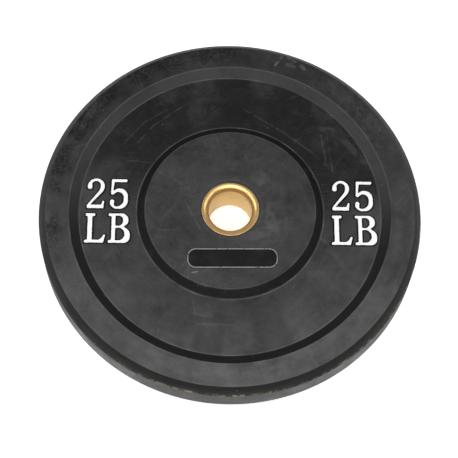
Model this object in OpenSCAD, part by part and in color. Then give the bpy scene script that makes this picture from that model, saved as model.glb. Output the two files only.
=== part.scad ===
// Rubber bumper plate for a 50 mm barbell sleeve: one vulcanised rubber disc, moulded round a hub
// insert. The insert is a brass bushing with a bell mouth at each end, brazed into a perforated
// steel anchor disc that locks it in the rubber. The plate lies on its back: z = 0 is the rear face
// of the hub, and the Z axis is the axis of the bore. Front and rear are alike, so each outline is
// given as the corners of its upper half and mirrored in the middle plane.

/* [Plate] */
// Outer diameter of the plate
plate_d = 450; // [420:1:480]
// Thickness across the two rim faces
rim_t = 51; // [46:0.5:60]
// Width of the flat face of the rim
rim_face_w = 27; // [18:0.5:36]
// Width of the slope from the rim face down to the web
rim_slope_w = 11.5; // [6:0.5:18]
// Depth of the web below the rim face, on each side
web_recess = 7.2; // [4:0.1:11]

/* [Shoulder] */
// Width of the sloped shoulder between the rim face and the side wall
shoulder_w = 8.5; // [5:0.5:13]
// Height of the sloped shoulder
shoulder_h = 10.2; // [6:0.2:15]

/* [Hub] */
// Diameter of the flat hub face
hub_d = 200.5; // [170:0.5:225]
// Height of the hub face above the rim face, on each side
hub_proud = 1; // [0.2:0.1:3]
// Width of the slope from the hub face down to the web
hub_slope_w = 9; // [5:0.5:14]

/* [Edges] */
// Radius on the edges of the rim face and of the hub face
face_edge_r = 1.2; // [0.4:0.1:2.5]
// Radius of the fillets where the slopes meet the web
web_fillet_r = 2.2; // [0.8:0.1:4]
// Radius between the rim face and the shoulder
shoulder_edge_r = 2; // [0.5:0.1:4]
// Radius between the shoulder and the side wall
side_edge_r = 1.4; // [0.4:0.1:3]

/* [Bushing] */
// Diameter of the bore that slides on the barbell sleeve
bore_d = 50.4; // [50.2:0.1:51.2]
// Wall thickness of the bushing
bush_wall = 4.4; // [3:0.2:5.4]
// Radius of the bell mouth at each end of the bore
mouth_r = 7.6; // [6.4:0.1:10]
// Width of the flat crest of the lip
lip_flat = 0.4; // [0.2:0.1:1.5]
// Radius on the outer corners of the lip
lip_corner_r = 0.6; // [0.2:0.1:1.2]
// Depth of the lip's crest below the hub face
lip_inset = 0.2; // [0.1:0.1:1]
// Radius on the edge of the rubber round the lip
collar_edge_r = 0.8; // [0.3:0.1:2]

/* [Anchor disc] */
// Width of the anchor disc outside the bushing
anchor_w = 33; // [28:0.5:48]
// Thickness of the anchor disc
anchor_t = 4; // [2.5:0.5:8]
// Number of holes that the rubber flows through
anchor_holes = 8; // [4:1:12]
// Diameter of these holes
anchor_hole_d = 13; // [8:0.5:16]

/* [Joints] */
// Gap between the bushing and the anchor disc, which the brazing metal fills
braze_gap = 0.2; // [0.1:0.05:0.4]
// Leg of the brazed fillet on each side of the anchor disc
braze_leg = 3; // [1.5:0.5:4]
// Thickness of the bonding film between the rubber and the metal
bond_gap = 0.05; // [0.02:0.01:0.15]

/* [Hidden] */
$fn = 180;

rubber_colour = [0.19, 0.19, 0.19];
brass_colour = [0.80, 0.62, 0.32];
steel_colour = [0.62, 0.64, 0.66];
braze_colour = [0.88, 0.72, 0.36];

// Largest angle between two facets of a rounded edge, in degrees
arc_step = 8;
// Reach of a cutter past the face that it cuts
past = 1;

// Heights above the middle plane
rim_top = rim_t / 2;
hub_top = rim_top + hub_proud;
web_top = rim_top - web_recess;
shoulder_foot = rim_top - shoulder_h;
lip_top = hub_top - lip_inset;
lip_under = lip_top - bush_wall;
anchor_top = anchor_t / 2;

// Radii of the rubber's corners, from the side wall inwards
plate_r = plate_d / 2;
rim_out_r = plate_r - shoulder_w;
rim_in_r = rim_out_r - rim_face_w;
web_out_r = rim_in_r - rim_slope_w;
hub_r = hub_d / 2;
web_in_r = hub_r + hub_slope_w;

// Radii of the insert, from the bore outwards
bore_r = bore_d / 2;
bush_r = bore_r + bush_wall;
lip_r = bore_r + mouth_r + lip_flat + lip_corner_r;
lip_back_r = mouth_r - bush_wall;
anchor_bore_r = bush_r + braze_gap;
anchor_r = bush_r + anchor_w;
anchor_ring_r = bush_r + anchor_w / 2;

// An outline is a list of corners [r, z, rounding radius], outwards from the bore. Each function
// below returns the upper half of one.
function bushing_half() = [
    [bore_r, lip_top, mouth_r],
    [lip_r, lip_top, lip_corner_r],
    [lip_r, lip_under, lip_corner_r],
    [bush_r, lip_under, lip_back_r],
];

function braze_half(reach) = [
    [bush_r, anchor_top + reach, 0],
    [bush_r + reach, anchor_top, 0],
    [anchor_bore_r, anchor_top, 0],
];

// The rubber follows the bushing at a distance of one bonding film, then comes out to its own face.
function rubber_half() = [
    [bush_r + bond_gap, lip_under - bond_gap, lip_back_r - bond_gap],
    [lip_r + bond_gap, lip_under - bond_gap, lip_corner_r + bond_gap],
    [lip_r + bond_gap, hub_top, collar_edge_r],
    [hub_r, hub_top, face_edge_r],
    [web_in_r, web_top, web_fillet_r],
    [web_out_r, web_top, web_fillet_r],
    [rim_in_r, rim_top, face_edge_r],
    [rim_out_r, rim_top, shoulder_edge_r],
    [plate_r, shoulder_foot, side_edge_r],
];

// Adds the mirror image of the upper half, so that the outline closes below the middle plane.
function both_faces(half) =
    concat(half, [for (i = [len(half) - 1 : -1 : 0]) [half[i].x, -half[i].y, half[i].z]]);

function unit(v) = v / norm(v);
function cross_z(u, v) = u.x * v.y - u.y * v.x;

// Points of the arc that rounds corner b, between its neighbours a and c. The arc touches both
// sides at the distance reach from the corner.
function arc_at(a, b, c, radius) =
    let (
        u = unit(a - b),
        v = unit(c - b),
        corner_angle = acos(u * v),
        reach = radius / tan(corner_angle / 2),
        centre = b + unit(u + v) * radius / sin(corner_angle / 2),
        from = b + u * reach - centre,
        sweep = (180 - corner_angle) * sign(cross_z(v, u)),
        steps = ceil(abs(sweep) / arc_step)
    )
    [for (i = [0 : steps])
        let (turn = sweep * i / steps)
        centre + [from.x * cos(turn) - from.y * sin(turn), from.x * sin(turn) + from.y * cos(turn)]];

function rounded(corners) =
    let (
        count = len(corners),
        at = [for (p = corners) [p.x, p.y]]
    )
    [for (i = [0 : count - 1])
        each corners[i].z > 0
            ? arc_at(at[(i + count - 1) % count], at[i], at[(i + 1) % count], corners[i].z)
            : [at[i]]];

module revolved(half) {
    translate([0, 0, hub_top])
        rotate_extrude()
            polygon(rounded(both_faces(half)));
}

// The space of the perforated disc, with its faces, rim and holes moved outwards by grow.
module anchor_space(grow) {
    translate([0, 0, hub_top])
        difference() {
            cylinder(h = anchor_t + 2 * grow, r = anchor_r + grow, center = true);
            for (i = [0 : anchor_holes - 1])
                rotate([0, 0, 360 * i / anchor_holes])
                    translate([anchor_ring_r, 0, 0])
                        cylinder(h = anchor_t + 2 * past, d = anchor_hole_d - 2 * grow, center = true);
        }
}

// One moulding: hub, web, rim, shoulders and side wall. Its plugs fill the holes of the anchor disc.
module rubber_body() {
    braze_reach = braze_leg + bond_gap * sqrt(2);
    color(rubber_colour)
        difference() {
            revolved(rubber_half());
            anchor_space(bond_gap);
            revolved(braze_half(braze_reach));
        }
}

// Tube flared outwards at both ends, so that its lips grip the hub.
module bushing() {
    color(brass_colour)
        revolved(bushing_half());
}

module anchor_disc() {
    color(steel_colour)
        difference() {
            anchor_space(0);
            translate([0, 0, hub_top])
                cylinder(h = anchor_t + 2 * past, r = anchor_bore_r, center = true);
        }
}

// Brazing metal between the bushing and the disc, with a fillet on each face of the disc.
module braze_ring() {
    color(braze_colour)
        revolved(braze_half(braze_leg));
}

rubber_body();
bushing();
anchor_disc();
braze_ring();
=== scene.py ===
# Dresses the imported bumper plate: moulded rubber, worn brass, painted weight marks and a bare badge.
import math
import bmesh
import bpy
from mathutils import Matrix, Vector, noise
from mathutils.geometry import tessellate_polygon


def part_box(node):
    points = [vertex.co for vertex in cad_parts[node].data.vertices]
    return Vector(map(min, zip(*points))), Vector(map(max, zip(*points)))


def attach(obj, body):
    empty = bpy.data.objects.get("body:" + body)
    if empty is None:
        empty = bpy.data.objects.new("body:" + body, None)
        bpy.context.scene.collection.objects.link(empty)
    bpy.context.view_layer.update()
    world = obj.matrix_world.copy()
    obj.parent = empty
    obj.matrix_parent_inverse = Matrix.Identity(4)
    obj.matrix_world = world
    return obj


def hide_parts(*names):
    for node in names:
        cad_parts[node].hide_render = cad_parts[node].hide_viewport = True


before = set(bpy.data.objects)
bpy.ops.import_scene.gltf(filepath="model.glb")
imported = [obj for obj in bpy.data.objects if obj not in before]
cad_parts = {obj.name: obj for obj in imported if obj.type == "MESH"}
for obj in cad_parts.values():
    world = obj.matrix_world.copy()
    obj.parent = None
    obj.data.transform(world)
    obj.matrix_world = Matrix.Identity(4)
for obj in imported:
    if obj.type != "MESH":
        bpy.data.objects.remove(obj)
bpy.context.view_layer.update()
print("frame loaded")

mm = 0.001
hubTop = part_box("rubber_body")[1].z   # the hub's front face
middle = hubTop / 2                   # front and rear mirror in this plane

# sizes in mm that several pieces share
plateRadius = 225
boreRadius = 25.2
webHeight = 18.3                      # web above the middle plane


# A socket that works in sums: each operator adds a Math node to its material.
class Wire:
    def __init__(self, finish, socket):
        self.finish, self.socket = finish, socket

    def math(self, operation, *others):
        return self.finish.node("ShaderNodeMath", {"operation": operation}, [self, *others])

    def __add__(self, other):
        return self.math("ADD", other)

    def __sub__(self, other):
        return self.math("SUBTRACT", other)

    def __rsub__(self, other):
        return self.finish.node("ShaderNodeMath", {"operation": "SUBTRACT"}, [other, self])

    def __mul__(self, other):
        return self.math("MULTIPLY", other)

    def __truediv__(self, other):
        return self.math("DIVIDE", other)

    def __abs__(self):
        return self.math("ABSOLUTE")

    __radd__ = __add__
    __rmul__ = __mul__

    def atLeast(self, other):
        return self.math("MAXIMUM", other)

    def atMost(self, other):
        return self.math("MINIMUM", other)

    # smoothly from 0 at low to 1 at high
    def rise(self, low, high):
        ends = {"Value": self, "From Min": low, "From Max": high}
        return self.finish.node("ShaderNodeMapRange", {"interpolation_type": "SMOOTHSTEP"}, ends)

    # smoothly from 1 at low to 0 at high
    def fall(self, low, high):
        return self.rise(high, low)

    # 1 past a place, with a soft edge
    def past(self, at, soft):
        return self.rise(at - soft, at + soft)

    # 1 before a place, with a soft edge
    def before(self, at, soft):
        return self.fall(at - soft, at + soft)

    # 1 between low and high, soft at both ends
    def band(self, low, high, soft):
        return self.past(low, soft) * self.before(high, soft)

    # a thin line where the value passes a number
    def line(self, at, width):
        return abs(self - at).fall(width * 0.3, width)


# The largest of several values at each point.
def strongest(wires):
    best = wires[0]
    for wire in wires[1:]:
        best = best.atLeast(wire)
    return best


# One procedural material. Its patterns are in millimetres on Object coordinates.
class Finish:
    def __init__(self, name):
        self.material = bpy.data.materials.new(name)
        self.material.use_nodes = True
        self.tree = self.material.node_tree
        self.shader = self.tree.nodes["Principled BSDF"]
        local = self.node("ShaderNodeTexCoord", out="Object")
        scaled = {0: local, "Scale": 1 / mm}
        self.spot = self.node("ShaderNodeVectorMath", {"operation": "SCALE"}, scaled)
        self.x, self.y, z = self.axes(self.spot)
        self.height = z - middle / mm
        self.radius = (self.x * self.x + self.y * self.y).math("SQRT")
        self.front = self.height.rise(-2, 2)

    # any node: its settings go first, then the values or links of its sockets
    def node(self, kind, settings=None, sockets=(), out=0):
        made = self.tree.nodes.new(kind)
        for key, value in (settings or {}).items():
            setattr(made, key, value)
        named = sockets.items() if isinstance(sockets, dict) else enumerate(sockets)
        for key, value in named:
            self.feed(made.inputs[key], value)
        return Wire(self, made.outputs[out])

    def feed(self, socket, value):
        if isinstance(value, Wire):
            self.tree.links.new(value.socket, socket)
        elif isinstance(value, tuple) and socket.type == "RGBA":
            socket.default_value = (*value, 1)
        else:
            socket.default_value = value

    def axes(self, vector):
        split = self.node("ShaderNodeSeparateXYZ", {}, [vector]).socket.node
        return [Wire(self, socket) for socket in split.outputs]

    def vector(self, x, y, z):
        return self.node("ShaderNodeCombineXYZ", {}, [x, y, z])

    # a colour between two, by a factor from 0 to 1
    def blend(self, factor, first, second):
        sockets = {0: factor, 6: first, 7: second}
        return self.node("ShaderNodeMix", {"data_type": "RGBA"}, sockets, out=2)

    # noise from 0 to 1 with features of about the given size
    def noise(self, size, seed, detail=3, vector=None):
        sockets = {"Vector": vector or self.spot, "W": seed, "Scale": 1 / size, "Detail": detail}
        return self.node("ShaderNodeTexNoise", {"noise_dimensions": "4D"}, sockets)

    # round specks: a share of the cells has one
    def specks(self, size, radius, share):
        cells = {"Vector": self.spot, "Scale": 1 / size}
        near = self.node("ShaderNodeTexVoronoi", {}, cells)
        chance = self.axes(Wire(self, near.socket.node.outputs["Color"]))[0]
        return near.fall(radius * 0.4, radius) * chance.rise(1 - share, 1 - share * 0.8)

    # patterns drawn out along circles round the bore
    def ringSpot(self, stretch):
        away = self.radius.atLeast(1)
        return self.vector(self.x / away * stretch, self.y / away * stretch, self.radius)

    # short straight scratches along one direction
    def scratchField(self, degrees, length, width, seed):
        turn = math.radians(degrees)
        along = self.x * math.cos(turn) + self.y * math.sin(turn)
        across = self.y * math.cos(turn) - self.x * math.sin(turn)
        spot = self.vector(along / length, across / width, self.height / 10 + 17 * seed)
        sockets = {"Vector": spot, "Scale": 1, "Detail": 0}
        return self.node("ShaderNodeTexNoise", {"noise_dimensions": "3D"}, sockets).rise(0.70, 0.84)

    # 1 on a line through points of a face, 0 past its width
    def stroke(self, points, width):
        nearest = None
        for (ax, ay), (bx, by) in zip(points, points[1:]):
            dx, dy = bx - ax, by - ay
            reach = dx * dx + dy * dy
            along = (self.x - ax) * (dx / reach) + (self.y - ay) * (dy / reach)
            along = along.atLeast(0).atMost(1)
            offX = self.x - ax - along * dx
            offY = self.y - ay - along * dy
            gap = offX * offX + offY * offY
            nearest = gap if nearest is None else nearest.atMost(gap)
        return nearest.fall(0, width * width)

    # a Bump node on the shader's normal, with the relief in millimetres
    def relief(self, height):
        sockets = {"Strength": 1, "Distance": mm, "Height": height}
        self.feed(self.shader.inputs["Normal"], self.node("ShaderNodeBump", {}, sockets))

    def set(self, **values):
        for key, value in values.items():
            self.feed(self.shader.inputs[key.replace("_", " ")], value)
        return self.material


rubberSettings = {
    "clean": (0.0075, 0.0075, 0.0078),
    "film": (0.084, 0.084, 0.083),       # grey bloom on handled rubber, also the tone of the painted sheen and highlights
    "dust": (0.24, 0.21, 0.16),
    "roughness": (0.32, 0.58),           # clean and dusty
    "specular": 0.24,
    # radii where one surface meets the next, and the wall's top above the middle plane, in mm
    "hubEdge": 100.25,
    "webStart": 110,
    "webEnd": 178,
    "rimStart": 189.3,
    "rimEnd": 216.6,
    "wallTop": 15.2,
    # share of film on each surface
    "hubFilm": 0.42,
    "webFilmAndSheen": (0.08, 0.44),             # far and near, the near share partly painted sheen
    # far and near, the near share partly painted sheen
    "rimFilmAndSheen": (0.24, 0.82),
    "slopeFilm": (0.03, 0.05),           # hub's slope and rim's slope
    "shoulderFilm": 0.03,
    "wallFilm": 0.29,
    "unevenness": (1.5, 1.3, 0.5, 0.8),  # by clouds, wisps, mottle and arcs
    "mostFilm": 2.4,
    "edges": [                           # radius, share of film on the line, which is partly painted highlight of the rounded edges
        (100.2, 0.6), (110.4, 1.0), (177.6, 0.95), (189.4, 0.85), (216.3, 0.25), (224.4, 0.15),
    ],
    "edgeWidth": 1.1,
    "rubbed": 0.8,                       # depth of the black blotches
    "hairlineSeeds": range(60, 67),      # one hairline pattern for each
    "scratchFields": [                   # direction in degrees, length, width, seed
        (24, 30, 0.9, 1), (-38, 40, 0.8, 2), (78, 24, 0.9, 3), (5, 46, 0.8, 4), (-65, 20, 1.0, 5),
        (52, 55, 0.9, 6), (-12, 34, 0.7, 7),
    ],
    "scratchFilm": (0.34, 0.24, 0.26),   # on the hub, the web and the rim
    "scratches": [
        [(17, 135), (61, 107), (96, 80), (113, 63)],
        [(109, 102), (115, 61)],
        [(115, 112), (122, 53)],
        [(-127, 89), (-103, 117), (-75, 135)],
        [(-111, 89), (-92, 113), (-59, 138)],
        [(-84, 47), (-61, 34), (-47, 23)],
        [(-54, 11), (-33, -30)],
        [(22, -25), (49, -23)],
        [(-43, -127), (-4, -135)],
        [(-40, -140), (7, -141)],
    ],
    "scratchWidth": 1.2,
    "longScratchFilm": 0.26,
    "scuffs": [                          # width, points
        (1.2, [(-46, -81), (-37, -79)]),
        (1.8, [(63, 205), (54, 192)]),
        (2.4, [(71, 203), (80, 197)]),
        (3.2, [(86, 192), (90, 188)]),
        (4.0, [(70, 194), (77, 192)]),
        (13, [(118, 168), (160, 132), (196, 92)]),
    ],
    "scuffFilm": 1.8,                    # on a scuff 1 mm wide, and less on a wider one
    "boreRing": (37.5, 1.8, 0.12),       # radius, width and film of the rubbed ring round the lip
    # loose dust
    "specks": [(9, 0.09, 0.2), (4.5, 0.12, 0.05)],   # cell, radius, share of the cells
    "speckDust": 0.6,
    "footDust": 0.9,                     # in the dry line at the foot of the shoulder
    "shoulderDust": 0.09,
    "markFilmAndFootHighlight": (0.7, 0.55),             # taken off the marks' sides, and added at their near foot as painted highlight
    "relief": (0.05, 0.10, 0.03),        # of grain, mottle and scratches, in mm
}


# Masks of the moulding's surfaces, with soft edges where they meet.
def rubberZones(rubber, settings):
    radius, level = rubber.radius, abs(rubber.height)
    webStart, webEnd = settings["webStart"], settings["webEnd"]
    rimStart, rimEnd = settings["rimStart"], settings["rimEnd"]
    hub = radius.before(settings["hubEdge"], 0.35)
    outside = radius.past(rimEnd, 0.4)
    return {
        "hub": hub,
        "hubSlope": (1 - hub) * radius.before(webStart, 0.8),
        "web": radius.past(webStart, 0.8) * radius.before(webEnd, 1.2),
        "rimSlope": radius.band(webEnd, rimStart, 0.6),
        "rimFace": radius.band(rimStart, rimEnd, 0.6),
        "shoulder": outside * level.past(settings["wallTop"], 0.6),
        "wall": outside * level.before(settings["wallTop"], 0.6),
    }


# The bloom before any scratch: thick on the near half of the front, where it is partly real bloom and
# partly painted sheen, and in patches on the rear.
def rubberBloomAndSheen(rubber, settings, zones, clouds, wisps, mottle, arcs):
    radius, front = rubber.radius, rubber.front
    # painted sheen: the film grows towards the near side of the front, where the lamps' sheen falls
    toNear = rubber.y + 0.12 * rubber.x + 25 * radius.fall(115, 150)
    nearFilmAndSheen = (toNear + clouds * 110 + wisps * 70).fall(-5, 75)
    nearRear = rubber.noise(120, 6, detail=3).rise(0.35, 0.7) * 0.7
    near = front * nearFilmAndSheen + (1 - front) * nearRear
    sheenAndPatches = front * rubber.y.fall(-210, 150) + (1 - front) * clouds.rise(-0.2, 0.2)

    webFar, webNear = settings["webFilmAndSheen"]
    patches = rubber.noise(34, 7, detail=4).rise(0.46, 0.64) * radius.rise(108, 150) * 0.14
    webShare = webFar + patches + (webNear - webFar) * near * (0.85 + 0.3 * radius.rise(110, 175))
    rimFar, rimNear = settings["rimFilmAndSheen"]
    # painted sheen along the rim's nearest part
    nearest = front * rubber.y.fall(-200, -150) * abs(rubber.x).fall(10, 110)
    rimShare = rimFar + (rimNear - rimFar) * sheenAndPatches + 0.22 * nearest
    hubSlopeFilm, rimSlopeFilm = settings["slopeFilm"]
    streaks = arcs.rise(0.08, 0.26) * 0.14
    # patchy film on the far part of the rim's slope, which faces the lamps: partly painted light
    farSlopeFilmAndLight = rubber.noise(70, 15, detail=2).rise(0.35, 0.6) * rubber.y.rise(-60, 60) * 0.26

    # the hub's film grows towards the near side too: painted sheen
    film = zones["hub"] * (settings["hubFilm"] * (0.8 + 0.35 * sheenAndPatches))
    film += zones["web"] * webShare + zones["rimFace"] * rimShare
    film += zones["hubSlope"] * (hubSlopeFilm + streaks)
    film += zones["rimSlope"] * (rimSlopeFilm + streaks + farSlopeFilmAndLight)
    film += zones["shoulder"] * settings["shoulderFilm"]
    film += zones["wall"] * (settings["wallFilm"] * (0.5 + clouds.rise(-0.15, 0.15)))
    byClouds, byWisps, byMottle, byArcs = settings["unevenness"]
    film *= 1 + byClouds * clouds + byWisps * wisps + byMottle * mottle + byArcs * arcs
    # pale lines along the edges: partly film caught there, partly painted highlight of the rounded
    # edges
    for at, share in settings["edges"]:
        film += radius.line(at, settings["edgeWidth"]) * share * (0.5 + 2 * arcs)

    # black blotches where handling has rubbed the bloom away, most of them on the rim's far left
    farLeft = front * (rubber.y - rubber.x * 1.2).rise(150, 260) * radius.rise(193, 204)
    places = (rubber.noise(30, 12) + 0.16 * farLeft).rise(0.48, 0.68)
    blotches = rubber.noise(2.6, 11, detail=5).rise(0.38, 0.54) * places
    outer = zones["rimFace"] + zones["shoulder"] + zones["wall"]
    return film * (1 - settings["rubbed"] * blotches * (0.3 + 0.7 * farLeft) * outer)


def rubberFinish(settings):
    rubber = Finish("mouldedRubber")
    radius, front = rubber.radius, rubber.front
    level = abs(rubber.height)
    zones = rubberZones(rubber, settings)
    clouds = rubber.noise(60, 1, detail=4) - 0.5
    wisps = rubber.noise(18, 2, detail=4) - 0.5
    mottle = rubber.noise(5, 3, detail=4) - 0.5
    grain = rubber.noise(1.6, 4, detail=2) - 0.5
    arcs = rubber.noise(7, 5, detail=4, vector=rubber.ringSpot(45)) - 0.5
    film = rubberBloomAndSheen(rubber, settings, zones, clouds, wisps, mottle, arcs)

    # scratches: hairlines and fields of short ones on both faces, and the long ones of the front
    hairlines = [
        rubber.noise(110, seed, detail=0).line(0.5, 0.005) for seed in settings["hairlineSeeds"]]
    fields = [rubber.scratchField(*field) for field in settings["scratchFields"]]
    scratches = strongest([strongest(hairlines) * rubber.noise(20, 13).rise(0.46, 0.6), *fields])
    onHub, onWeb, onRim = settings["scratchFilm"]
    share = onHub * zones["hub"] + onWeb * zones["web"] + onRim * zones["rimFace"]
    film += scratches * share * rubber.noise(45, 14).rise(0.38, 0.58)
    width = settings["scratchWidth"]
    longOnes = strongest([rubber.stroke(points, width) for points in settings["scratches"]])
    broken = (wisps + mottle).rise(-0.25, 0.1)
    film += longOnes * front * level.rise(17, 18) * settings["longScratchFilm"] * broken
    for width, points in settings["scuffs"]:
        share = settings["scuffFilm"] / width
        film += rubber.stroke(points, width) * front * share * mottle.rise(-0.2, 0.1)
    ringRadius, ringWidth, ringFilm = settings["boreRing"]
    film += radius.line(ringRadius, ringWidth) * level.rise(25, 26) * ringFilm

    # loose dust: specks on the faces, and a dry line at the foot of the shoulder
    coarse, small = [rubber.specks(*kind) for kind in settings["specks"]]
    foot = radius.rise(222, 224) * level.line(15.8, 2) * (arcs.rise(-0.15, 0.1) * 0.7 + 0.2)
    foot *= (rubber.x + 40 * clouds).rise(-150, -70)
    dusty = (coarse + small) * settings["speckDust"]
    dusty += foot * mottle.rise(-0.08, 0.12) * settings["footDust"]
    onShoulder = zones["shoulder"] * radius.rise(218, 223.5) * (arcs + clouds).rise(-0.25, 0.2)
    dusty = dusty.atMost(1) + onShoulder * settings["shoulderDust"]

    # the sides of the weight marks are cleaner, with a painted highlight in the angle at their near
    # foot
    isMark = rubber.node("ShaderNodeAttribute", {"attribute_name": "markBody"}, out="Fac")
    markFootHighlight = rubber.node("ShaderNodeAttribute", {"attribute_name": "nearFootHighlight"}, out="Fac")
    onSides, atFoot = settings["markFilmAndFootHighlight"]
    film = film * (1 - onSides * isMark) + markFootHighlight.rise(0.5, 0.95) * atFoot
    film = film.atLeast(0).atMost(settings["mostFilm"])
    dusty *= 1 - isMark

    colour = rubber.blend(film, settings["clean"], settings["film"])
    colour.socket.node.clamp_factor = False   # a thick film is paler than the film's own tone
    colour = rubber.blend(dusty, colour, settings["dust"])
    smooth, rough = settings["roughness"]
    roughness = smooth + (rough - smooth) * film.rise(0, 0.5) + 0.25 * (mottle + zones["shoulder"])
    ofGrain, ofMottle, ofScratches = settings["relief"]
    rubber.relief(ofGrain * grain + ofMottle * mottle - ofScratches * scratches)
    return rubber.set(
        Base_Color=colour, Roughness=roughness, Specular_IOR_Level=settings["specular"])


brassSettings = {
    "bright": (0.95, 0.62, 0.26),
    "worn": (0.78, 0.46, 0.16),
    "foot": (0.60, 0.36, 0.12),   # brown band where the mouth meets the bore: painted reflection of the darker surroundings
    "dull": (0.62, 0.45, 0.18),
    "stainsAndDarkening": (0.16, 0.10, 0.05),
    "metallic": 0.75,
    "roughness": (0.29, 0.50),
}


def brassFinish(settings):
    brass = Finish("wornBrass")
    radius, level = brass.radius, abs(brass.height)
    clouds = brass.noise(14, 11, detail=4)
    fine = brass.noise(2.2, 12, detail=3)
    stretched = brass.vector(brass.x * 0.1, brass.y * 0.1, brass.height)
    turned = brass.noise(1.2, 13, detail=2, vector=stretched)
    bore = radius.fall(25.4, 27.5)
    tarnish = clouds.rise(0.46, 0.66) * 0.55 + fine.rise(0.55, 0.75) * 0.25
    pitted = brass.noise(1.1, 14, detail=3).rise(0.48, 0.62) * radius.rise(28.5, 33)
    pitted *= 0.4 + 0.6 * brass.x.fall(-30, -8)
    stainsAndDarkening = clouds.rise(0.56, 0.7) * fine.rise(0.45, 0.6) * 0.5
    stainsAndDarkening += pitted * clouds.rise(0.3, 0.5) * 0.7
    # the bore darker towards its left side
    stainsAndDarkening += bore * brass.x.fall(-26, -4) * 0.3
    colour = brass.blend(tarnish, settings["bright"], settings["worn"])
    colour = brass.blend(bore * 0.85, colour, settings["dull"])
    # painted reflection: a brown band where the bell mouth turns into the bore
    mouthReflectionBand = radius.band(25.35, 28.2, 0.5) * level.rise(16, 19)
    colour = brass.blend(mouthReflectionBand * 0.8, colour, settings["foot"])
    colour = brass.blend(stainsAndDarkening * (1 - 0.5 * bore), colour, settings["stainsAndDarkening"])
    smooth, rough = settings["roughness"]
    roughness = smooth + (rough - smooth) * (0.35 * tarnish + 0.65 * bore) + 0.12 * (turned - 0.5)
    lip = radius.rise(29, 32)
    brass.relief(0.012 * turned * bore + 0.01 * fine + 0.02 * stainsAndDarkening + 0.05 * fine * lip)
    metallic = settings["metallic"] * (1 - 0.5 * stainsAndDarkening)
    return brass.set(Base_Color=colour, Roughness=roughness, Metallic=metallic)


paintSettings = {
    "white": (0.99, 0.99, 0.98),
    "grey": (0.55, 0.55, 0.54),
    "roughness": 0.45,
}


def paintFinish(settings):
    paint = Finish("whitePaint")
    streaks = paint.noise(6, 21, detail=4)
    pits = paint.noise(1.2, 22, detail=2)
    grime = streaks.rise(0.56, 0.8) * 0.25 + pits.rise(0.66, 0.8) * 0.5
    paint.relief(0.03 * streaks + 0.02 * pits)
    colour = paint.blend(grime, settings["white"], settings["grey"])
    return paint.set(Base_Color=colour, Roughness=settings["roughness"] + 0.15 * streaks)


metalSettings = {                 # bright tone, dark tone, roughness
    "steel": ((0.52, 0.52, 0.53), (0.36, 0.35, 0.34), 0.38),
    "braze": ((0.80, 0.58, 0.26), (0.52, 0.34, 0.15), 0.32),
}


def plainMetal(name, settings):
    bright, dark, rough = settings
    metal = Finish(name)
    scale = metal.noise(9, 31, detail=4)
    grit = metal.noise(0.9, 32, detail=2)
    colour = metal.blend(scale.rise(0.35, 0.7), bright, dark)
    metal.relief(0.02 * grit)
    roughness = rough + 0.25 * (scale - 0.4)
    return metal.set(Base_Color=colour, Metallic=0.95 - 0.2 * scale, Roughness=roughness)


# Corners of the moulding's upper half: radius, height above the middle plane, rounding.
bodySettings = {
    "corners": [
        (29.65, 21.85, 3.15),     # back of the bushing's lip
        (33.85, 21.85, 0.65),
        (33.85, 26.5, 0.8),       # collar of rubber round the lip
        (100.25, 26.5, 1.2),      # edge of the hub's face
        (109.25, webHeight, 2.2),
        (178.0, webHeight, 2.2),
        (189.5, 25.5, 1.2),       # edge of the rim's face
        (216.5, 25.5, 2.0),       # top of the shoulder
        (plateRadius, 15.3, 1.4),  # edge of the side wall
    ],
    "ringSegments": 420,
    "filletSteps": 6,
}

bushingSettings = {
    "corners": [
        (boreRadius, 26.3, 7.6),  # bell mouth
        (33.8, 26.3, 0.6),        # crest and edge of the lip
        (33.8, 21.9, 0.6),
        (29.6, 21.9, 3.2),
    ],
    "ringSegments": 240,
    "filletSteps": 18,
}


# Profile corners of both faces, as a closed polyline with a rounding attribute.
def profileMesh(name, corners):
    upper = [(radius * mm, height * mm, fillet * mm) for radius, height, fillet in corners]
    points = upper + [(radius, -height, fillet) for radius, height, fillet in reversed(upper)]
    count = len(points)
    mesh = bpy.data.meshes.new(name)
    edges = [(i, (i + 1) % count) for i in range(count)]
    mesh.from_pydata([(radius, height, 0) for radius, height, _ in points], edges, [])
    rounding = mesh.attributes.new("rounding", "FLOAT", "POINT")
    for i, (_, _, fillet) in enumerate(points):
        rounding.data[i].value = fillet
    return mesh


# A geometry tree whose nodes are added in order, each linked by socket names.
class Shaper:
    def __init__(self, name, inputs):
        self.tree = bpy.data.node_groups.new(name, "GeometryNodeTree")
        for label, kind in inputs.items():
            self.tree.interface.new_socket(label, in_out="INPUT", socket_type="NodeSocket" + kind)
        self.tree.interface.new_socket("Geometry", in_out="OUTPUT", socket_type="NodeSocketGeometry")
        self.start = self.tree.nodes.new("NodeGroupInput").outputs

    def node(self, kind, settings=None, sockets=None, out=0):
        made = self.tree.nodes.new(kind)
        for key, value in (settings or {}).items():
            setattr(made, key, value)
        for key, value in (sockets or {}).items():
            if isinstance(value, bpy.types.NodeSocket):
                self.tree.links.new(value, made.inputs[key])
            else:
                made.inputs[key].default_value = value
        return made.outputs[out]

    # every tree ends in Realize Instances and Set Material
    def close(self, geometry):
        real = self.node("GeometryNodeRealizeInstances", {}, {"Geometry": geometry})
        sockets = {"Geometry": real, "Material": self.start["Finish"]}
        coated = self.node("GeometryNodeSetMaterial", {}, sockets)
        end = self.tree.nodes.new("NodeGroupOutput")
        self.tree.links.new(coated, end.inputs["Geometry"])
        return self.tree


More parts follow.
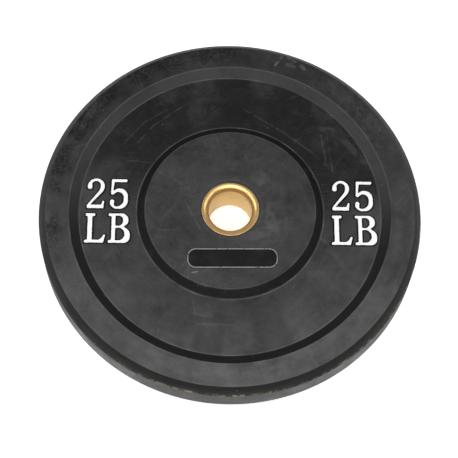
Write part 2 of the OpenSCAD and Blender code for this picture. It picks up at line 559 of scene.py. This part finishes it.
# Rounds the profile's corners and sweeps it round the bore's axis.
def sweepTree():
    shaper = Shaper("roundAndSweep", {
        "Profile": "Geometry", "Path Radius": "Float", "Ring Segments": "Int", "Fillet Steps": "Int",
        "Height": "Float", "Finish": "Material"})
    start, node = shaper.start, shaper.node
    outline = node("GeometryNodeMeshToCurve", {}, {"Mesh": start["Profile"]})
    rounding = node("GeometryNodeInputNamedAttribute", {"data_type": "FLOAT"}, {"Name": "rounding"})
    rounded = node("GeometryNodeFilletCurve", {"mode": "POLY"}, {
        "Curve": outline, "Count": start["Fillet Steps"], "Radius": rounding})
    # the path carries the profile at its own radius, so the profile moves in by as much
    inward = node("ShaderNodeMath", {"operation": "MULTIPLY"}, {0: start["Path Radius"], 1: -1})
    shift = node("ShaderNodeCombineXYZ", {}, {"X": inward})
    placed = node("GeometryNodeTransform", {}, {"Geometry": rounded, "Translation": shift})
    ring = node("GeometryNodeCurvePrimitiveCircle", {}, {
        "Resolution": start["Ring Segments"], "Radius": start["Path Radius"]})
    swept = node("GeometryNodeCurveToMesh", {}, {"Curve": ring, "Profile Curve": placed})
    smooth = node("GeometryNodeSetShadeSmooth", {}, {"Geometry": swept})
    lift = node("ShaderNodeCombineXYZ", {}, {"Z": start["Height"]})
    raised = node("GeometryNodeTransform", {}, {"Geometry": smooth, "Translation": lift})
    return shaper.close(raised)


# Repeats the marks right and left of the hub, then turns the pair over for the rear face.
def marksTree():
    shaper = Shaper("repeatMarks", {
        "Marks": "Geometry", "Spread": "Float", "Web Height": "Float", "Middle": "Float",
        "Finish": "Material"})
    start, node = shaper.start, shaper.node
    left = node("ShaderNodeMath", {"operation": "MULTIPLY"}, {0: start["Spread"], 1: -1})
    across = node("ShaderNodeMath", {"operation": "MULTIPLY"}, {0: start["Spread"], 1: 2})
    first = node("ShaderNodeCombineXYZ", {}, {"X": left, "Z": start["Web Height"]})
    step = node("ShaderNodeCombineXYZ", {}, {"X": across})
    places = node("GeometryNodeMeshLine", {}, {"Count": 2, "Start Location": first, "Offset": step})
    pair = node("GeometryNodeInstanceOnPoints", {}, {"Points": places, "Instance": start["Marks"]})
    rear = node("GeometryNodeTransform", {}, {"Geometry": pair, "Rotation": (math.pi, 0, 0)})
    both = node("GeometryNodeJoinGeometry", {}, {"Geometry": pair})
    shaper.tree.links.new(rear, both.node.inputs["Geometry"])
    lift = node("ShaderNodeCombineXYZ", {}, {"Z": start["Middle"]})
    raised = node("GeometryNodeTransform", {}, {"Geometry": both, "Translation": lift})
    return shaper.close(raised)


# Runs a tree on a mesh and keeps the result as a plain object.
def bakeTree(name, mesh, tree, values):
    source = bpy.data.objects.new(name + "Source", mesh)
    bpy.context.scene.collection.objects.link(source)
    modifier = source.modifiers.new("shape", "NODES")
    modifier.node_group = tree
    ids = {s.name: s.identifier for s in tree.interface.items_tree if s.in_out == "INPUT"}
    for label, value in values.items():
        modifier[ids[label]] = value
    graph = bpy.context.evaluated_depsgraph_get()
    baked = bpy.data.meshes.new_from_object(source.evaluated_get(graph))
    source.modifiers.remove(modifier)
    bpy.data.objects.remove(source)
    baked.name = name
    return addPiece(name, baked)


def addPiece(name, mesh):
    piece = bpy.data.objects.new(name, mesh)
    bpy.context.scene.collection.objects.link(piece)
    faceOut(mesh)
    return piece


# Merges doubles and turns every face outwards.
def faceOut(mesh):
    work = bmesh.new()
    work.from_mesh(mesh)
    bmesh.ops.remove_doubles(work, verts=work.verts, dist=1e-6)
    bmesh.ops.recalc_face_normals(work, faces=work.faces)
    work.to_mesh(mesh)
    work.free()


def report(piece):
    size = [round(v / mm, 1) for v in piece.dimensions]
    print(piece.name, len(piece.data.polygons), "faces,", size, "mm")


rubber = rubberFinish(rubberSettings)
brass = brassFinish(brassSettings)
sweep = sweepTree()

bodyProfile = profileMesh("bodyProfile", bodySettings["corners"])
body = bakeTree("rubberBody", bodyProfile, sweep, {
    "Path Radius": plateRadius * mm, "Ring Segments": bodySettings["ringSegments"],
    "Fillet Steps": bodySettings["filletSteps"], "Height": middle, "Finish": rubber})
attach(body, "root")
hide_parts("rubber_body")
report(body)

sleeveProfile = profileMesh("bushingProfile", bushingSettings["corners"])
sleeve = bakeTree("bushingSleeve", sleeveProfile, sweep, {
    "Path Radius": boreRadius * mm, "Ring Segments": bushingSettings["ringSegments"],
    "Fillet Steps": bushingSettings["filletSteps"], "Height": middle, "Finish": brass})
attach(sleeve, "root")
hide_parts("bushing")
report(sleeve)

# The anchor disc and the brazed ring lie inside the rubber, and keep their CAD shapes.
for nodeName, kind in (("anchor_disc", "steel"), ("braze_ring", "braze")):
    metal = plainMetal(kind + "Metal", metalSettings[kind])
    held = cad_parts[nodeName].data.materials
    held.clear()
    held.append(metal)
    print(nodeName, "coated")

# The weight marks: corners of each outline from the group's centre, with their rounding.
markSettings = {
    "spread": 144.5,              # group's centre from the bore's axis
    "drop": -0.8,
    "rise": 1.8,                  # marks above the web
    "draft": 1.9,                 # width of their sloped sides
    "buried": 0.3,
    "topRound": (0.15, 0.06),     # width and height of the rounded top edge
    "paintRings": [(-0.2, -0.04), (-0.2, 0.072), (-0.28, 0.12)],   # grow, height above the marks
    "paintWobble": 0.35,
    "wobbleSizes": [(4.0, 0.55), (1.5, 0.45)],                     # size, share
    "wobbleSeed": 7,
    "grain": 1.2,                 # longest stretch between two points
    "glyphs": [
        [[(-24.1, 2.8, 1.2), (-4.7, 2.8, 1), (-3.5, 12.6, 1.2), (-5.9, 12.6, 1.2),
          (-7.4, 7.6, 2), (-20.2, 7.6, 0.4), (-3.7, 26.8, 12), (-3.7, 35.5, 9.5),
          (-9.5, 41.3, 9.5), (-17.7, 41.3, 9.5), (-23.5, 35.5, 9), (-24.3, 27.5, 2.9),
          (-18.2, 27.5, 2.6), (-18.4, 32.4, 1), (-19.1, 34.8, 3.5), (-16, 37.9, 5),
          (-11.6, 37.9, 5), (-8.5, 34.8, 5), (-8.5, 27.6, 11), (-24.1, 6.9, 2.2)]],
        [[(4.4, 40.7, 1.6), (23.3, 40.7, 1.9), (22.6, 36.8, 1.7), (7.9, 36.8, 0.6),
          (6.6, 25.2, 0.5), (10.8, 28.7, 7), (18, 28.7, 9), (24, 22.5, 10), (24, 8.5, 10),
          (18, 2.3, 9), (7.6, 2.3, 7), (2.9, 7.6, 4), (2.9, 14.5, 2.7), (8.4, 14.5, 2.6),
          (7.2, 5.6, 2.6), (14.2, 5.6, 6), (19, 11, 8), (19, 19.5, 8), (15, 24.1, 6),
          (10.5, 24.1, 4), (7, 20.6, 1.4), (3.7, 20.6, 1.6)]],
        [[(-25.8, -40.9, 1.5), (-3.4, -40.9, 1.2), (-1, -30.4, 1.1), (-3.5, -30.4, 1),
          (-5.6, -34.6, 3), (-9, -37.1, 2.5), (-16.8, -37.1, 1), (-16.8, -7.4, 1.2),
          (-13.6, -7.4, 1.7), (-13.6, -3.4, 1.8), (-25, -3.4, 1.8), (-25, -7.3, 1.6),
          (-22.4, -7.3, 1.2), (-22.4, -37.2, 1.2), (-25.8, -37.2, 1.5)]],
        [[(1.9, -41, 1.3), (23.5, -41, 7), (27.6, -35.5, 8), (27.4, -25.5, 9),
          (20, -20.2, 0.4), (25.4, -16, 6), (25.4, -8.5, 7), (20.5, -3.5, 7), (1.9, -3.5, 1.5),
          (1.9, -6.8, 1.4), (5.6, -7.4, 1), (5.6, -37, 1), (1.9, -37.6, 1.5)],
         [(10.3, -6.4, 0.6), (10.3, -19.1, 0.6), (16, -19.1, 4), (19, -15.5, 5), (19, -9.8, 4),
          (16, -6.4, 4)],
         [(10.3, -21.9, 0.6), (10.3, -37.5, 0.6), (16.5, -37.5, 5), (21, -33, 6), (21, -27, 6),
          (17, -21.9, 5)]],
    ],
}


# Twice the area inside an outline, above 0 where it runs anticlockwise.
def windingOf(points):
    return sum(a.x * b.y - b.x * a.y for a, b in zip(points, points[1:] + points[:1]))


# Points of a rounded outline, moved to the right of its way by grow. The number of points doesn't
# depend on grow, so rings of one outline join point by point.
def outlinePoints(corners, grow, grain):
    at = [Vector((x, y)) for x, y, _ in corners]
    count = len(at)
    ways = [(at[(i + 1) % count] - at[i]).normalized() for i in range(count)]
    arcs = []
    for i in range(count):
        before, after = ways[i - 1], ways[i]
        turn = math.atan2(before.x * after.y - before.y * after.x, before.dot(after))
        outBefore, outAfter = Vector((before.y, -before.x)), Vector((after.y, -after.x))
        side = math.copysign(1, turn)
        radius = max(corners[i][2] + grow * side, 0.05)
        mitre = at[i] + (outBefore + outAfter) * (grow / (1 + outBefore.dot(outAfter)))
        reach = radius * math.tan(abs(turn) / 2)
        centre = mitre - before * reach - outBefore * (radius * side)
        start = outBefore * (radius * side)
        steps = max(2, math.ceil(abs(turn) / math.radians(12)))
        turns = [Matrix.Rotation(turn * k / steps, 2) for k in range(steps + 1)]
        arcs.append([centre + part @ start for part in turns])
    reaches = [c[2] * math.tan(abs(ways[i - 1].angle(ways[i])) / 2) for i, c in enumerate(corners)]
    points = []
    for i in range(count):
        j = (i + 1) % count
        run = (at[j] - at[i]).length - reaches[i] - reaches[j]
        pieces = 1 + max(0, int(run / grain))
        points += arcs[i]
        first, last = arcs[i][-1], arcs[j][0]
        points += [first.lerp(last, k / pieces) for k in range(1, pieces)]
    return points


# A solid with the marks' outlines: a ring of points for each grow and height, closed at both ends.
def markSolid(name, settings, rings):
    work = bmesh.new()
    near = work.verts.layers.float.new("nearFootHighlight")
    inside = work.verts.layers.float.new("markBody")
    for glyph in settings["glyphs"]:
        loops = []
        for number, corners in enumerate(glyph):
            flat = [Vector((x, y)) for x, y, _ in corners]
            # bodies run anticlockwise and holes clockwise, so growing always adds rubber
            if (windingOf(flat) > 0) == (number > 0):
                corners = corners[::-1]
            made = []
            for order, (grow, height) in enumerate(rings):
                points = outlinePoints(corners, grow, settings["grain"])
                ring = []
                for k, point in enumerate(points):
                    x, y = point.x * mm, (point.y + settings["drop"]) * mm
                    vertex = work.verts.new((x, y, height * mm))
                    # painted highlight: the foot rings' points facing the near side get a share, which
                    # turns into film
                    way = points[(k + 1) % len(points)] - points[k - 1]
                    facing = way.x / max(way.length, 1e-6)
                    vertex[near] = max(0.0, facing) if order < 2 else 0.0
                    vertex[inside] = 1.0
                    ring.append(vertex)
                made.append(ring)
            for lower, upper in zip(made, made[1:]):
                for k in range(len(lower)):
                    m = (k + 1) % len(lower)
                    work.faces.new((lower[k], lower[m], upper[m], upper[k]))
            loops.append(made)
        for end in (0, -1):
            flat = [[v.co for v in made[end]] for made in loops]
            everyVertex = [v for made in loops for v in made[end]]
            for corner in tessellate_polygon(flat):
                work.faces.new([everyVertex[k] for k in corner])
    mesh = bpy.data.meshes.new(name)
    work.to_mesh(mesh)
    work.free()
    return mesh


def raisedMarks(settings, finish):
    foot, top = settings["draft"], settings["rise"]
    out, down = settings["topRound"]
    rings = [(foot, -settings["buried"]), (foot, 0), (out, top - down), (0, top)]
    blanks = markSolid("markBlanks", settings, rings)
    return placeMarks("weightMarks", blanks, settings, webHeight, finish)


# The paint lies on the marks' tops, with a hand-painted edge.
def markPaint(settings, finish):
    mesh = markSolid("paintBlanks", settings, settings["paintRings"])
    noise.seed_set(settings["wobbleSeed"])   # unseeded, the noise would be another one each time
    for vertex in mesh.vertices:
        spot = Vector((vertex.co.x, vertex.co.y, 0)) / mm
        for size, share in settings["wobbleSizes"]:
            push = noise.noise_vector(spot / size) * (settings["paintWobble"] * share * mm)
            vertex.co.x += push.x
            vertex.co.y += push.y
    return placeMarks("markPaint", mesh, settings, webHeight + settings["rise"], finish)


def placeMarks(name, mesh, settings, height, finish):
    return bakeTree(name, mesh, marksTree(), {
        "Spread": settings["spread"] * mm, "Web Height": height * mm, "Middle": middle,
        "Finish": finish})


marks = raisedMarks(markSettings, rubber)
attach(marks, "root")
report(marks)

paintedTops = markPaint(markSettings, paintFinish(paintSettings))
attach(paintedTops, "root")
report(paintedTops)

# A bare badge on the hub: a thin dark plate with a pale line round its edge.
badgeSettings = {
    "centre": (2.7, -62.0),
    "size": (105.8, 25.2),
    "cornerRadius": 10.5,
    "cornerSteps": 14,
    "tilt": 0.6,                  # degrees
    "thickness": 0.28,
    "buried": 0.3,
    "edgeRound": 0.15,
    "ink": (0.007, 0.007, 0.0075),
    "haze": (0.10, 0.10, 0.10),
    "line": (0.26, 0.26, 0.26),
    "lineInset": 0.5,
    "lineWidth": 1.3,
    "roughness": 0.36,
    "specular": 0.2,
}


def badgeFinish(settings):
    badge = Finish("printedBadge")
    width, depth = settings["size"]
    corner = settings["cornerRadius"]
    turn = math.radians(settings["tilt"])
    fromX = badge.x - settings["centre"][0]
    fromY = badge.y - settings["centre"][1]
    along = abs(fromX * math.cos(turn) + fromY * math.sin(turn)) - (width / 2 - corner)
    across = abs(fromY * math.cos(turn) - fromX * math.sin(turn)) - (depth / 2 - corner)
    along, across = along.atLeast(0), across.atLeast(0)
    inside = corner - (along * along + across * across).math("SQRT")
    inner = settings["lineInset"] + settings["lineWidth"]
    rub = badge.noise(2.5, 41, detail=4)
    film = badge.noise(14, 42, detail=4)
    line = inside.band(settings["lineInset"], inner, 0.2) * rub.rise(0.28, 0.5)
    colour = badge.blend(film.rise(0.4, 0.8) * 0.08, settings["ink"], settings["haze"])
    colour = badge.blend(line, colour, settings["line"])
    badge.relief(0.02 * film + 0.01 * rub)
    roughness = settings["roughness"] + 0.2 * film
    return badge.set(
        Base_Color=colour, Roughness=roughness, Specular_IOR_Level=settings["specular"])


# Outline of a rounded bar, anticlockwise.
def barOutline(width, depth, corner, steps):
    points = []
    for quarter in range(4):
        signX = 1 if quarter in (0, 3) else -1
        signY = 1 if quarter in (0, 1) else -1
        for i in range(steps + 1):
            angle = math.pi / 2 * (quarter + i / steps)
            x = signX * (width / 2 - corner) + corner * math.cos(angle)
            y = signY * (depth / 2 - corner) + corner * math.sin(angle)
            points.append((x, y))
    return points


def badgePlate(settings, finish):
    width, depth = settings["size"]
    turn = Matrix.Rotation(math.radians(settings["tilt"]), 4, "Z")
    place = Matrix.Translation((*settings["centre"], hubTop / mm)) @ turn
    soft, thick = settings["edgeRound"], settings["thickness"]
    rings = [(0, -settings["buried"]), (0, thick - soft), (soft, thick)]   # inset, height
    work = bmesh.new()
    loops = []
    for inset, height in rings:
        corner = settings["cornerRadius"] - inset
        outline = barOutline(
            width - 2 * inset, depth - 2 * inset, corner, settings["cornerSteps"])
        loops.append([work.verts.new((place @ Vector((x, y, height))) * mm) for x, y in outline])
    for lower, upper in zip(loops, loops[1:]):
        for i in range(len(lower)):
            j = (i + 1) % len(lower)
            work.faces.new((lower[i], lower[j], upper[j], upper[i]))
    work.faces.new(loops[-1])
    work.faces.new(reversed(loops[0]))
    mesh = bpy.data.meshes.new("badgePlate")
    work.to_mesh(mesh)
    work.free()
    mesh.materials.append(finish)
    return addPiece("badgePlate", mesh)


badge = badgePlate(badgeSettings, badgeFinish(badgeSettings))
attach(badge, "root")
report(badge)

# Camera, fitted to the circles of the photograph.
cameraSettings = {
    "elevation": 66.986,          # degrees above the plate's face
    "roll": 2.874,
    "turn": -2.52,                # the marks are turned by as much against the view
    "distance": 1793.6 * mm,
    "aside": (-1.531 * mm, -23.126 * mm),
    "lens": 120.27,
    "sensor": 36,
    "clipStart": 50 * mm,
    "lookHeight": 52 * mm,        # the rim's front face
}


def placeCamera(settings):
    tilt = math.radians(settings["elevation"])
    roll = math.radians(settings["roll"])
    forward = Vector((0, math.cos(tilt), -math.sin(tilt)))
    right = Vector((1, 0, 0))
    up = right.cross(forward)
    side = math.cos(roll) * right + math.sin(roll) * up
    top = -math.sin(roll) * right + math.cos(roll) * up
    asideX, asideY = settings["aside"]
    spot = -forward * settings["distance"] + asideX * side + asideY * top
    spin = Matrix.Rotation(math.radians(settings["turn"]), 3, "Z")
    basis = Matrix((spin @ side, spin @ top, spin @ -forward)).transposed().to_4x4()
    camera = bpy.data.objects.new("camera", bpy.data.cameras.new("camera"))
    camera.data.lens = settings["lens"]
    camera.data.sensor_width = settings["sensor"]
    camera.data.clip_start = settings["clipStart"]
    place = spin @ spot + Vector((0, 0, settings["lookHeight"]))
    camera.matrix_world = Matrix.Translation(place) @ basis
    bpy.context.scene.collection.objects.link(camera)
    bpy.context.scene.camera = camera


placeCamera(cameraSettings)

studioSettings = {
    "floorSize": 40,
    "floorDrop": 0.2 * mm,        # below the plate's rear face, so that the two don't flicker
    "floorTone": (0.9, 0.9, 0.9),
    "floorShade": (0.86, 0.86, 0.86),
    "floorRoughness": 0.9,
    "floorGlow": 0.6,             # a lit table, which keeps the floor white round the plate
    "glowReach": (340, 700),      # from full glow to none, in mm from the plate's centre
    "ambient": 0.20,
    "boxes": {                    # size, place, watts
        "overheadSoftbox": ((2.4, 2.0), (-0.1, -0.9, 2.0), 34),
        "leftSoftbox": ((1.5, 0.9), (-1.45, 0.1, 1.55), 11),
        "rightSoftbox": ((1.5, 0.9), (1.45, 0.2, 1.6), 10),
    },
}


def lightTable(settings):
    half, low = settings["floorSize"] / 2, -settings["floorDrop"]
    corners = [(-half, -half, low), (half, -half, low), (half, half, low), (-half, half, low)]
    mesh = bpy.data.meshes.new("floor")
    mesh.from_pydata(corners, [], [(0, 1, 2, 3)])
    pale = Finish("paleFloor")
    tone = pale.blend(pale.noise(900, 51), settings["floorTone"], settings["floorShade"])
    glow = pale.blend(pale.radius.fall(*settings["glowReach"]), (0.0, 0.0, 0.0), (1.0, 1.0, 1.0))
    mesh.materials.append(pale.set(
        Base_Color=tone, Roughness=settings["floorRoughness"], Emission_Color=glow,
        Emission_Strength=settings["floorGlow"]))
    floor = bpy.data.objects.new("floor", mesh)
    bpy.context.scene.collection.objects.link(floor)


# A softbox that faces the plate's centre.
def softbox(name, size, spot, watts):
    lamp = bpy.data.lights.new(name, "AREA")
    lamp.shape = "RECTANGLE"
    lamp.size, lamp.size_y = size
    lamp.energy = watts
    holder = bpy.data.objects.new(name, lamp)
    holder.location = spot
    holder.rotation_euler = (-Vector(spot)).to_track_quat("-Z", "Y").to_euler()
    bpy.context.scene.collection.objects.link(holder)


lightTable(studioSettings)
for boxName, (boxSize, boxPlace, boxWatts) in studioSettings["boxes"].items():
    softbox(boxName, boxSize, boxPlace, boxWatts)
world = bpy.data.worlds.new("studio")
world.use_nodes = True
backdrop = world.node_tree.nodes["Background"].inputs
backdrop["Color"].default_value = (1, 1, 1, 1)
backdrop["Strength"].default_value = studioSettings["ambient"]
bpy.context.scene.world = world
bpy.context.scene.view_settings.view_transform = "Standard"
print("camera and lights placed")
